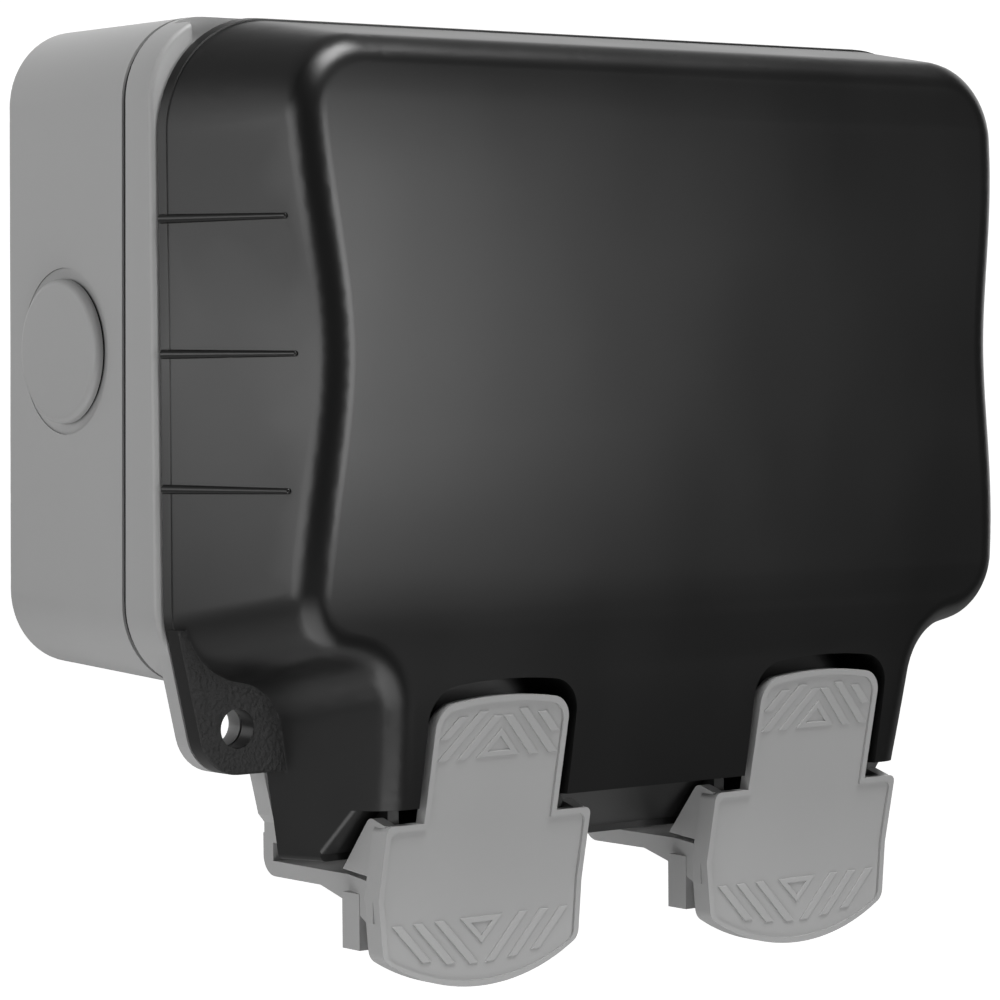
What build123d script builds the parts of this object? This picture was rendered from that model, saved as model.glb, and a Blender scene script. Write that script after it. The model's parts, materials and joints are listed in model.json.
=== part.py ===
"""Outdoor weatherproof socket: wall box, frame, hinged lid with two rocker latches, and two 13 A outlets.

Millimetres, +Z up, +X to the right seen from the front. The wall plane is y = 0 and the front looks along -Y,
so a depth in this file is measured from the wall towards the viewer. The origin is the wall face's centre.
"""

import os
from math import cos, radians, sin, sqrt, tan

from build123d import *

os.makedirs("parts", exist_ok=True)

# General clearances
fit_gap = 0.05          # running clearance of a pin in its bore, on the radius
side_gap = 0.4          # free play beside a moving piece
seat_gap = 0.3          # small gap that keeps two moving faces apart

# Back box
box_width = 203.0
box_height = 128.6
box_corner = 16.5
box_depth = 43.8
box_wall = 2.6
box_draft = 1.0         # how much smaller each side is at the wall
fixing_pitch_x = 140.0
fixing_pitch_z = 78.0
fixing_hole_r = 2.75
fixing_boss_r = 6.5
fixing_boss_height = 2.0

# Side cable entry
entry_behind = 21.4     # from the box's front edge to the middle of the entry
entry_face_r = 16.25
entry_face_inset = 0.9  # flat face cut into the drafted side wall
entry_hole_r = 12.5
entry_boss_r = 17.5
entry_boss_inner = 5.4  # thickness of the wall at the entry
plug_head_r = 14.1
plug_head_height = 1.8
plug_head_round = 1.4
plug_barrel_length = 9.0
plug_seal_height = 0.5

# Gasket between box and frame
gasket_height = 1.3
gasket_inset = 0.5
gasket_width = 2.0

# Front frame
frame_depth = 8.3
frame_wall = 2.6
frame_plate = 2.8
frame_edge_r = 1.2
window_side = 19.5      # from the frame's side in to the window
window_height = 82.0
window_z = 3.0
window_corner = 8.0
tub_wall = 2.4
tub_depth = 7.6         # how far the window wall reaches back behind the frame's plate
skirt_lap = 2.5         # how far the skirt stands out past the lid's neck
skirt_shoulder_step = 6.5
skirt_shoulder_z = -89.3
skirt_foot_step = 1.4
skirt_foot_z = -91.0
skirt_thickness = 5.0
screw_in = 10.5
screw_z = 50.0
screw_boss_r = 4.5
screw_shank_r = 1.75
screw_head_r = 3.4
screw_head_height = 2.2
screw_length = 24.0

# Lid: sizes at the rim, and at the front plane that touches the top of the crown
rim_gap = 0.6
rim_inset = 1.5         # how far the lid's side lies inside the frame's
rim_top = 63.7
rim_corner = 22.5
rim_low_corner = 14.5
neck_step = 20.6        # from the rim's side in to its neck
rim_neck_z = -65.0
lid_height = 34.4       # from the rim to the front plane
side_taper = 12.0       # how far the face's side lies inside the rim's
face_waist = 3.8        # how far the side of the face draws in at mid height
face_top = 58.2
face_corner = 14.5
face_low_corner = 13.5
face_neck_step = 21.5
face_neck_z = -57.8
underside_slope = 11.0
chin_slope = 8.5
neck_corner = 11.0
chin_bottom = -97.7
chin_corner = 1.3
crown_r = 420.0
lid_wall = 2.6
lid_edge_r = 7.0
rim_band = 1.8
rim_proud = 0.3
rib_start_r = 0.9
rib_end_r = 0.55
rib_rise = 0.15         # how far a rib's axis stands off the wall
rib_pitch = 25.4
rib_waist = 1.3         # how far the face's side draws in at the outer ribs
rib_length = 26.5
lid_lean = 1.25         # the lid's plane leans forward at its foot, turned about the hinge line
notch_front_z = -86.2
notch_inner_ahead = 17.5
notch_inner_z = -87.2
notch_foot_ahead = 9.0
notch_foot_z = -96.3
notch_edge_r = 1.2

# Padlock lug
lug_inset = 0.2
lug_slant = 6.4         # how far the outer edge slants inwards from its top to its foot
lug_lap = 11.4          # how far the lug reaches in past the neck
lug_top = -52.0
lug_bottom = -80.2
lug_corner = 9.0
lug_thickness = 4.2
frame_lug_thickness = 3.9
lug_hole_in = 6.8
lug_hole_z = -71.1
lug_hole_r = 3.8
lug_edge_r = 0.5

# Hinge
hinge_below_top = 3.1
hinge_behind_rim = 2.6
hinge_pin_r = 1.0
hinge_barrel_r = 2.3
hinge_x = 55.0
hinge_lid_knuckle = 9.4
hinge_frame_knuckle = 5.0
hinge_groove_r = 4.7
hinge_groove_wall = 2.0
hinge_groove_in = 9.5   # from the frame's side in to the groove's end

# Latches: a name that ends in ahead is measured from the lid's rim towards the viewer
latch_in = 38.1         # from the rim's neck in to a latch's middle
latch_half_width = 24.9
latch_foot_half = 23.9
tongue_half_width = 16.2
tongue_top = -66.0
tongue_crown = 1.6
tongue_corner = 5.0
latch_corner = 3.0
latch_border = 1.2
latch_border_rise = 0.5
latch_shoulder = -90.0
latch_bend_z = -104.5
latch_corner_z = -116.0
latch_bottom = -123.2
latch_top_ahead = 29.0
latch_bend_ahead = 20.7
latch_plate = 2.2
latch_rim = 4.2
latch_rim_width = 1.8
tray_top = -100.9
tray_thickness = 3.05
tray_half_width = 22.0
tray_flare_ahead = 7.4
hook_behind = 21.6
hook_thickness = 3.4
hook_corner = 4.0
catch_bottom = -94.8
catch_gap = 0.7
catch_thickness = 3.0
catch_gap_behind = 1.2
latch_pivot_ahead = 16.9
latch_pivot_z = -94.4
latch_pin_r = 1.25
ear_thickness = 2.6
ear_r = 2.7
gusset_thickness = 2.6
gusset_skin = 0.8
gusset_step = 0.5       # how far the gusset's face lies inside the plate's edge
gusset_foot_ahead = 8.9
gusset_foot_z = -99.4
gusset_tip_ahead = 17.8
gusset_tip_z = -88.6
gusset_tip_r = 2.0
gusset_heel_ahead = 19.0
gusset_heel_z = -100.3
web_ahead = 8.0
web_thickness = 5.6
web_half_width = 24.0
web_bottom = -114.9
brace_start_behind = 2.0
brace_end_ahead = 17.2
brace_drop = 5.0
brace_wall = 2.6
recess_margin = 1.9
recess_top_margin = 3.2
recess_ahead = 16.5
recess_wall = 2.0

# Socket plate and outlets
plate_thickness = 3.0
plate_lap_x = 3.0
plate_lap_z = 8.0
pad_size = 52.0
pad_corner = 9.0
pad_height = 1.0
outlet_x = 42.0
pin_pitch = 22.23
live_row_z = -11.0
live_slot_width = 7.2
live_slot_height = 4.7
earth_slot_width = 4.7
earth_slot_height = 8.8
module_screw_r = 1.5
module_screw_length = 9.0
module_screw_head_r = 2.8
module_screw_head = 1.8
module_boss_x = 50.0
module_boss_wall = 0.6

# Rocker switches
rocker_x = 7.4
rocker_z = 9.0
rocker_width = 11.6
rocker_length = 20.6
rocker_dish = 1.4
rocker_rise = 3.4
rocker_back = 5.0
rocker_tilt = 6.0
rocker_axle_r = 1.25
rocker_axle = 1.2
rocker_window_gap = 1.0
bezel_wall = 2.4
bezel_rise = 1.2
bezel_back = 4.0

# Shutters
shutter_travel = 7.0
shutter_thickness = 2.6
shutter_width = 34.0
shutter_lap = 1.4
shutter_arm_width = 8.0
shutter_slope = 7.0
spring_wire_r = 0.35
spring_r = 1.9
spring_turns = 5
spring_length = 11.0

# Mechanism cover and contacts
cover_in = 7.0          # from the window's side in to the cover's
cover_height = 64.0
cover_reach = 21.0      # from the plate's back to the cover's
cover_wall = 2.0
cover_corner = 6.0
contact_sheet = 0.8
contact_gap = 4.2
contact_behind = 6.0    # from the plate's back to the contacts' front
contact_length = 10.8
bar_height = 4.0
post_size = 8.0
post_reach = 8.0
post_bore_r = 2.2
terminal_screw_r = 1.6
terminal_screw_head_r = 2.6

# Cable seal at the chin
cable_x = 8.0
cable_r = 2.9
seal_thickness = 2.2
seal_depth = 2.8
cable_seal_width = 30.0
cable_seal_height = 6.0

# Places worked out from the sizes above
frame_back = box_depth + gasket_height
frame_front = frame_back + frame_depth
rim_depth = frame_front + rim_gap
entry_depth = box_depth - entry_behind
hinge_depth = rim_depth - hinge_behind_rim
hinge_z = rim_top - hinge_below_top
plate_front = frame_front - frame_plate - tub_depth
plate_back = plate_front - plate_thickness
contact_front = plate_back - contact_behind
contact_back = contact_front - contact_length
window_width = box_width - 2 * window_side
cover_width = window_width - 2 * cover_in
cover_depth = plate_back - cover_reach
screw_x = box_width / 2 - screw_in
hinge_groove_half = box_width / 2 - hinge_groove_in
rim_half_width = box_width / 2 - rim_inset
rim_neck = rim_half_width - neck_step
face_depth = rim_depth + lid_height
face_half_width = rim_half_width - side_taper
face_neck = face_half_width - face_neck_step
rib_end_depth = rim_depth + rib_length
notch_inner_depth = rim_depth + notch_inner_ahead
notch_foot_depth = rim_depth + notch_foot_ahead
skirt_width = 2 * (rim_neck + skirt_lap)
skirt_shoulder_width = skirt_width - 2 * skirt_shoulder_step
skirt_foot_width = skirt_shoulder_width - 2 * skirt_foot_step
lug_top_x = lug_inset - rim_half_width
lug_foot_x = lug_top_x + lug_slant
lug_inner = lug_lap - rim_neck
lug_hole_x = lug_foot_x + lug_hole_in
latch_x = rim_neck - latch_in
latch_top_depth = rim_depth + latch_top_ahead
latch_bend_depth = rim_depth + latch_bend_ahead
latch_pivot_depth = rim_depth + latch_pivot_ahead
tray_flare_depth = rim_depth + tray_flare_ahead
hook_rear_depth = rim_depth - hook_behind
gusset_foot_depth = rim_depth + gusset_foot_ahead
gusset_tip_depth = rim_depth + gusset_tip_ahead
gusset_heel_depth = rim_depth + gusset_heel_ahead
web_depth = rim_depth + web_ahead
brace_start_depth = rim_depth - brace_start_behind
brace_end_depth = rim_depth + brace_end_ahead
recess_floor = rim_depth + recess_ahead
earth_z = live_row_z + pin_pitch
hook_top = catch_bottom - catch_gap
tray_bottom = tray_top - tray_thickness
rocker_depth = plate_front - plate_thickness / 2
lean_rise = (hinge_z + box_height / 2) * tan(radians(lid_lean))
lean = Pos(0, -hinge_depth, hinge_z) * Rot(-lid_lean, 0, 0) * Pos(0, hinge_depth, -hinge_z)


def at_depth(depth):
    """Plane seen from the front: local x is +X, local y is +Z, at a depth from the wall."""
    return Plane.XZ.offset(depth)


def side_at(x):
    """Plane seen from the left side: local x is the depth from the wall, local y is +Z."""
    return Plane(origin=(x, 0, 0), x_dir=(0, -1, 0), z_dir=(-1, 0, 0))


def mix(at_rim, at_face, share):
    return at_rim + (at_face - at_rim) * share


def lid_section(depth, inset=0.0):
    """Outline of the lid at a depth, between its rim and its face, drawn smaller by an inset."""
    share = (depth - rim_depth) / (face_depth - rim_depth)
    half_width = mix(rim_half_width, face_half_width, share) - inset
    top = mix(rim_top, face_top, share) - inset
    corner = mix(rim_corner, face_corner, share) - inset
    low_corner = mix(rim_low_corner, face_low_corner, share) - inset
    neck = mix(rim_neck, face_neck, share) - inset
    neck_z = mix(rim_neck_z, face_neck_z, share) + inset
    shoulder = neck_z + (half_width - neck) * tan(radians(underside_slope))
    chin_z = chin_bottom + inset
    chin = neck - (neck_z - chin_z) * tan(radians(chin_slope))
    rounds = [
        (half_width, top, corner), (half_width, shoulder, low_corner), (neck, neck_z, neck_corner + inset),
    ]
    if inset < chin_corner:
        rounds.append((chin, chin_z, chin_corner - inset))
    side_top = top - corner
    side_low = shoulder + low_corner * tan(radians((90 - underside_slope) / 2))
    with BuildSketch(at_depth(depth)) as section:
        with BuildLine():
            Line((-half_width, top), (half_width, top))
            for side in (-1, 1):
                Polyline(
                    (side * half_width, top), (side * half_width, shoulder), (side * neck, neck_z),
                    (side * chin, chin_z),
                )
            Line((-chin, chin_z), (chin, chin_z))
        make_face()
        for x, z, radius in rounds:
            for side in (-1, 1):
                fillet(section.vertices().sort_by_distance((side * x, z))[0], radius)
        if share > 0:
            waist = half_width - face_waist * share
            for side in (-1, 1):
                ends = (side * half_width, side_top), (side * half_width, side_low)
                middle = (side * waist, (side_top + side_low) / 2)
                with BuildLine():
                    Spline(ends[0], middle, ends[1], tangents=[(0, -1), (0, -1)])
                    Line(*ends)
                make_face(mode=Mode.SUBTRACT)
    return section.sketch


def crown(depth):
    """Side profile of everything behind the crowned face, whose highest line is at a depth."""
    reach = -chin_bottom + lid_edge_r
    drop = crown_r - sqrt(crown_r**2 - reach**2)
    with BuildSketch(side_at(0)) as profile:
        with BuildLine():
            Polyline((depth - drop, -reach), (0, -reach), (0, reach), (depth - drop, reach))
            ThreePointArc((depth - drop, reach), (depth, 0), (depth - drop, -reach))
        make_face()
    return profile.sketch


def chin_notch(margin=0.0):
    """Side profile of the space under the front of the chin, where the latches swing."""
    past = face_depth + lid_edge_r
    floor = chin_bottom - 2 * lid_edge_r
    with BuildSketch(side_at(0)) as profile:
        Polygon(
            (past, notch_front_z), (notch_inner_depth, notch_inner_z), (notch_foot_depth, notch_foot_z),
            (notch_foot_depth, floor), (past, floor), align=None,
        )
        if margin:
            offset(amount=margin, kind=Kind.INTERSECTION)
    return profile.sketch


def lug_outline():
    """Front view of the padlock lug."""
    with BuildSketch() as outline:
        with BuildLine():
            Polyline(
                (lug_top_x, lug_top), (lug_foot_x, lug_bottom), (lug_inner, lug_bottom), (lug_inner, lug_top),
                close=True,
            )
        make_face()
        fillet(outline.vertices().sort_by_distance((lug_foot_x, lug_bottom))[0], lug_corner)
    return outline.sketch


def save(part, name):
    part.label = name
    export_step(part, f"parts/{name}.step")


def lid_loft(inset, start, end):
    """Solid between two sections of the lid."""
    with BuildPart() as form:
        loft([lid_section(start, inset), lid_section(end, inset)], ruled=True)
    return form.part


# Lid: outer form, then the hollow, the trim that stands proud, and the latch recesses
with BuildPart() as lid_body:
    add(lid_loft(0, rim_depth, face_depth))
    extrude(crown(face_depth), amount=rim_half_width, both=True, mode=Mode.INTERSECT)
    extrude(chin_notch(), amount=rim_half_width, both=True, mode=Mode.SUBTRACT)
    lid_front = lid_body.faces().filter_by(GeomType.CYLINDER).sort_by(Axis.Y)[0]
    fillet(lid_front.edges().sort_by(Axis.Z)[1:], lid_edge_r)
    notch_middle = (0, -(notch_inner_depth + notch_foot_depth) / 2, (notch_inner_z + notch_foot_z) / 2)
    notch_wall = lid_body.faces().filter_by(GeomType.PLANE).sort_by_distance(notch_middle)[0]
    fillet(notch_wall.edges().filter_by(GeomType.BSPLINE), notch_edge_r)

with BuildPart() as lid_cavity:
    add(lid_loft(lid_wall, rim_depth, face_depth))
    extrude(crown(face_depth - lid_wall), amount=rim_half_width, both=True, mode=Mode.INTERSECT)
    extrude(chin_notch(lid_wall), amount=rim_half_width, both=True, mode=Mode.SUBTRACT)

with BuildPart() as lid_trim:
    with BuildSketch(at_depth(rim_depth)):
        with Locations((0, rim_neck_z)):
            Rectangle(3 * rim_half_width, 3 * rim_half_width, align=(Align.CENTER, Align.MIN))
    extrude(amount=rim_band)
    add(lid_loft(-rim_proud, rim_depth, face_depth), mode=Mode.INTERSECT)

rib_share = (rib_end_depth - rim_depth) / (face_depth - rim_depth)
rib_ends = [(0, face_waist), (-rib_pitch, rib_waist), (rib_pitch, rib_waist)]
with BuildPart() as lid_ribs:
    for rib_z, waist in rib_ends:
        for side in (-1, 1):
            end_x = mix(rim_half_width, face_half_width - waist, rib_share) + rib_rise
            start = Vector(side * (rim_half_width + rib_rise), -rim_depth - rib_start_r / 2, rib_z)
            end = Vector(side * end_x, -rib_end_depth, rib_z)
            with BuildSketch(Plane(origin=start, z_dir=end - start)) as foot:
                Circle(rib_start_r)
            with BuildSketch(Plane(origin=end, z_dir=end - start)) as tip:
                Circle(rib_end_r)
            loft([foot.sketch, tip.sketch])
            with Locations(end):
                Sphere(rib_end_r)

recess_half = tongue_half_width + recess_margin
recess_top = tongue_top + recess_top_margin


def recess_outline(grow):
    """Front view of a latch recess, open downwards."""
    half = recess_half + grow
    top = recess_top + grow
    with BuildSketch() as outline:
        with BuildLine():
            Polyline(
                (-half, top - tongue_crown), (-half, chin_bottom), (half, chin_bottom), (half, top - tongue_crown),
            )
            ThreePointArc((-half, top - tongue_crown), (0, top), (half, top - tongue_crown))
        make_face()
        fillet(outline.vertices().group_by(Axis.Y)[-1], tongue_corner + recess_margin + grow)
    return outline.sketch


with BuildPart() as recess_walls:
    with BuildSketch(at_depth(recess_floor - recess_wall)):
        with Locations((-latch_x, 0), (latch_x, 0)):
            add(recess_outline(recess_wall))
    extrude(amount=face_depth - recess_floor + recess_wall)
    add(lid_body.part, mode=Mode.INTERSECT)

gusset_inner = latch_half_width - gusset_step - gusset_thickness
ear_middle = gusset_inner - side_gap - ear_thickness / 2

with BuildPart() as lid_lug:
    with BuildSketch(at_depth(rim_depth)):
        add(lug_outline())
    extrude(amount=lug_thickness)
    lug_edges = lid_lug.faces().sort_by(Axis.Y)[0].edges()
    lug_rim = lug_edges.filter_by_position(Axis.X, lug_top_x, lug_inner - lug_corner)
    fillet(lug_rim.filter_by_position(Axis.Z, lug_bottom, lug_top - lug_edge_r), lug_edge_r)

with BuildPart() as lid:
    add(lid_lug.part)
    add(lid_body.part)
    add(lid_trim.part)
    add(lid_ribs.part)
    add(lid_cavity.part, mode=Mode.SUBTRACT)
    add(recess_walls.part)
    with BuildSketch(at_depth(recess_floor)):
        with Locations((-latch_x, 0), (latch_x, 0)):
            add(recess_outline(0))
    extrude(amount=face_depth - recess_floor, mode=Mode.SUBTRACT)
    # Ears that carry the latch pins
    for ear_x in [latch * latch_x + side * ear_middle for latch in (-1, 1) for side in (-1, 1)]:
        with BuildSketch(side_at(ear_x)):
            with Locations((latch_pivot_depth, latch_pivot_z)):
                Circle(ear_r)
            Polygon(
                (latch_pivot_depth + ear_r, latch_pivot_z), (latch_pivot_depth + ear_r, notch_inner_z + lid_wall / 2),
                (notch_inner_depth - lid_wall / 2, notch_inner_z + lid_wall / 2),
                (notch_foot_depth, notch_foot_z + lid_wall / 2), (notch_foot_depth + lid_wall / 2, notch_foot_z),
                (latch_pivot_depth, latch_pivot_z - ear_r), align=None,
            )
        extrude(amount=ear_thickness / 2, both=True)
    with BuildSketch(side_at(0)):
        with Locations((latch_pivot_depth, latch_pivot_z)):
            Circle(latch_pin_r + fit_gap)
    extrude(amount=latch_x + latch_half_width, both=True, mode=Mode.SUBTRACT)
    # Hinge knuckles behind the top of the rim
    for knuckle_x in (-hinge_x, hinge_x):
        with BuildSketch(side_at(knuckle_x)):
            with Locations((hinge_depth, hinge_z)):
                Circle(hinge_barrel_r)
                Rectangle(hinge_behind_rim + rim_band, 2 * hinge_barrel_r, align=(Align.MIN, Align.CENTER))
                Circle(hinge_pin_r + fit_gap, mode=Mode.SUBTRACT)
        extrude(amount=hinge_lid_knuckle / 2, both=True)
    # Two cable slots in the underside of the chin
    with BuildSketch(Plane.XY.offset(chin_bottom)):
        with Locations((-cable_x, -rim_depth - cable_r), (cable_x, -rim_depth - cable_r)):
            Circle(cable_r)
            Rectangle(2 * cable_r, 2 * cable_r, align=(Align.CENTER, Align.MIN))
    extrude(amount=lid_wall + seat_gap, mode=Mode.SUBTRACT)

# The closed lid leans; its padlock hole is drilled square to the wall
with BuildPart() as leaning_lid:
    add(lean * lid.part)
    with BuildSketch(at_depth(frame_front)):
        with Locations((lug_hole_x, lug_hole_z)):
            Circle(lug_hole_r)
    extrude(amount=face_depth - frame_front, mode=Mode.SUBTRACT)
save(leaning_lid.part, "lid")

# Soft seal round the inside of the lid, and the cable seal on the floor of its chin
seal_start = rim_depth + rim_band
with BuildPart() as lid_seal:
    add(lid_loft(lid_wall + fit_gap, seal_start, seal_start + seal_depth))
    add(lid_loft(lid_wall + fit_gap + seal_thickness, seal_start, seal_start + seal_depth), mode=Mode.SUBTRACT)
    with BuildSketch(at_depth(seal_start)):
        with Locations((0, chin_bottom)):
            Rectangle(cable_seal_width + 2 * seat_gap, 2 * cable_seal_height + 2 * lid_wall)
    extrude(amount=seal_depth, mode=Mode.SUBTRACT)
save(lean * lid_seal.part, "lid_seal")

cable_seal_reach = notch_foot_depth - lid_wall - rim_depth - 2 * seat_gap
with BuildPart() as cable_seal:
    with BuildSketch(Plane.XY.offset(chin_bottom + lid_wall)):
        with Locations((0, -rim_depth - seat_gap)):
            Rectangle(cable_seal_width, cable_seal_reach, align=(Align.CENTER, Align.MAX))
        with Locations((-cable_x, -rim_depth - cable_r), (cable_x, -rim_depth - cable_r)):
            Circle(cable_r - seat_gap, mode=Mode.SUBTRACT)
            Rectangle(
                2 * (cable_r - seat_gap), 2 * cable_r, align=(Align.CENTER, Align.MIN), mode=Mode.SUBTRACT,
            )
    extrude(amount=cable_seal_height)
save(lean * cable_seal.part, "cable_seal")


# Latches: bent plate with a tongue, a tray that runs under the chin, a hook, gussets and a cross web
def latch_front(z):
    """Depth of the latch's front face at a height."""
    if z < latch_bend_z:
        return latch_bend_depth
    slope = (latch_top_depth - latch_bend_depth) / (tongue_top - latch_bend_z)
    return latch_bend_depth + slope * (z - latch_bend_z)


def latch_strip(thickness):
    """Side profile of the bent plate."""
    heights = (tongue_top, latch_bend_z, latch_bottom)
    front = [(latch_front(z), z) for z in heights]
    back = [(latch_front(z) - thickness, z) for z in reversed(heights)]
    with BuildSketch(side_at(0)) as strip:
        Polygon(*front, *back, align=None)
    return strip.sketch


def latch_outline(inset=0.0, with_tongue=True):
    """Front view of the latch plate."""
    half = latch_half_width - inset
    foot = latch_foot_half - inset
    shoulder = latch_shoulder - inset if with_tongue else latch_shoulder + inset
    with BuildSketch() as outline:
        with BuildLine():
            Polyline((-foot, latch_corner_z), (-half, latch_bend_z), (-half, shoulder))
            Line((-half, shoulder), (half, shoulder))
            Polyline((half, shoulder), (half, latch_bend_z), (foot, latch_corner_z))
            ThreePointArc((foot, latch_corner_z), (0, latch_bottom + inset), (-foot, latch_corner_z))
        make_face()
        fillet(outline.vertices().sort_by(Axis.Y)[:2], latch_corner)
        fillet(outline.vertices().group_by(Axis.Y)[-1], latch_corner / 2)
        if with_tongue:
            side = tongue_half_width - inset
            top = tongue_top - inset
            tip = top - tongue_crown
            with BuildLine():
                Polyline((-side, tip), (-side, latch_bend_z), (side, latch_bend_z), (side, tip))
                ThreePointArc((-side, tip), (0, top), (side, tip))
            make_face()
            fillet(outline.vertices().group_by(Axis.Y)[-1], tongue_corner - inset)
    return outline.sketch


def tray_plan():
    """Top view of the tray, wider where it meets the plate."""
    plate_back = latch_front(tray_top) - latch_plate
    with BuildSketch() as plan:
        with BuildLine():
            Polyline(
                (-tray_half_width, -hook_rear_depth), (-tray_half_width, -tray_flare_depth),
                (-latch_half_width, -plate_back + latch_plate), (-latch_half_width, -plate_back),
                (latch_half_width, -plate_back), (latch_half_width, -plate_back + latch_plate),
                (tray_half_width, -tray_flare_depth), (tray_half_width, -hook_rear_depth), close=True,
            )
        make_face()
    return plan.sketch


def make_latch(x):
    with BuildPart() as brace:
        extrude(Pos(0, 0, tray_bottom - brace_drop) * tray_plan(), amount=brace_drop)
        with BuildSketch(side_at(0)):
            Polygon(
                (brace_start_depth, tray_bottom), (latch_bend_depth, tray_bottom),
                (latch_bend_depth, tray_bottom - brace_drop), (brace_end_depth, tray_bottom - brace_drop), align=None,
            )
        extrude(amount=latch_half_width, both=True, mode=Mode.INTERSECT)
        with BuildSketch(Plane.XY.offset(tray_bottom - brace_drop)):
            with Locations((0, -brace_start_depth)):
                Rectangle(
                    2 * (tray_half_width - brace_wall), face_depth - brace_start_depth, align=(Align.CENTER, Align.MAX),
                )
        extrude(amount=brace_drop, mode=Mode.SUBTRACT)
    with BuildPart() as rim:
        extrude(latch_strip(latch_rim), amount=latch_half_width, both=True)
        with BuildSketch(at_depth(0)):
            add(latch_outline(with_tongue=False))
            add(latch_outline(latch_rim_width, with_tongue=False), mode=Mode.SUBTRACT)
        extrude(amount=face_depth, mode=Mode.INTERSECT)
    with BuildPart() as border:
        strip = extrude(latch_strip(latch_plate), latch_half_width, both=True, mode=Mode.PRIVATE)
        add(Pos(0, -latch_border_rise, 0) * strip)
        with BuildSketch(at_depth(0)):
            add(latch_outline())
            add(latch_outline(latch_border), mode=Mode.SUBTRACT)
        extrude(amount=face_depth, mode=Mode.INTERSECT)
    with BuildPart() as latch:
        extrude(latch_strip(latch_plate), amount=latch_half_width, both=True)
        with BuildSketch(at_depth(0)):
            add(latch_outline())
        extrude(amount=face_depth, mode=Mode.INTERSECT)
        add(rim.part)
        add(border.part)
        # Tray and its hook
        extrude(Pos(0, 0, tray_bottom) * tray_plan(), amount=tray_thickness)
        with BuildSketch(Plane.XY.offset(tray_bottom)):
            with Locations((0, -hook_rear_depth)):
                Rectangle(2 * tray_half_width, hook_thickness, align=(Align.CENTER, Align.MAX))
        extrude(amount=hook_top - tray_bottom)
        rear_edge = latch.edges().filter_by(Axis.X).filter_by_position(Axis.Z, tray_bottom, tray_bottom)
        fillet(rear_edge.sort_by(Axis.Y)[-1], hook_corner)
        # Gussets that carry the pivot pin
        for side in (-1, 1):
            with BuildSketch(side_at(side * (gusset_inner + gusset_thickness / 2))) as gusset:
                Polygon(
                    (gusset_foot_depth, gusset_foot_z), (gusset_tip_depth, gusset_tip_z),
                    (latch_front(latch_shoulder) - latch_plate / 2, latch_shoulder),
                    (latch_front(tray_top) - latch_plate / 2, tray_top), (gusset_heel_depth, gusset_heel_z), align=None,
                )
                fillet(gusset.vertices().sort_by_distance((gusset_tip_depth, gusset_tip_z))[0], gusset_tip_r)
            extrude(amount=gusset_thickness / 2, both=True)
        with BuildSketch(side_at(0)):
            with Locations((latch_pivot_depth, latch_pivot_z)):
                Circle(latch_pin_r + fit_gap)
        extrude(amount=latch_half_width - gusset_step - gusset_skin, both=True, mode=Mode.SUBTRACT)
        add(brace.part)
        with BuildSketch(Plane.XY.offset(web_bottom)):
            with Locations((0, -web_depth)):
                Rectangle(2 * web_half_width, web_thickness, align=(Align.CENTER, Align.MAX))
        extrude(amount=tray_bottom - web_bottom)
    return lean * Pos(x, 0, 0) * latch.part


def make_pin(x, depth, z, radius, length):
    """Round pin along X."""
    with BuildPart() as pin:
        with BuildSketch(side_at(x)):
            with Locations((depth, z)):
                Circle(radius)
        extrude(amount=length / 2, both=True)
    return pin.part


for name, x in (("left", -latch_x), ("right", latch_x)):
    save(make_latch(x), f"latch_{name}")
    latch_pin_length = 2 * (latch_half_width - gusset_step - gusset_skin - fit_gap)
    save(lean * make_pin(x, latch_pivot_depth, latch_pivot_z, latch_pin_r, latch_pin_length), f"latch_pin_{name}")

hinge_frame_x = hinge_lid_knuckle / 2 + side_gap + hinge_frame_knuckle / 2
for name, x in (("left", -hinge_x), ("right", hinge_x)):
    hinge_pin_length = 2 * (hinge_frame_x + hinge_frame_knuckle / 2)
    save(make_pin(x, hinge_depth, hinge_z, hinge_pin_r, hinge_pin_length), f"hinge_pin_{name}")

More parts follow.
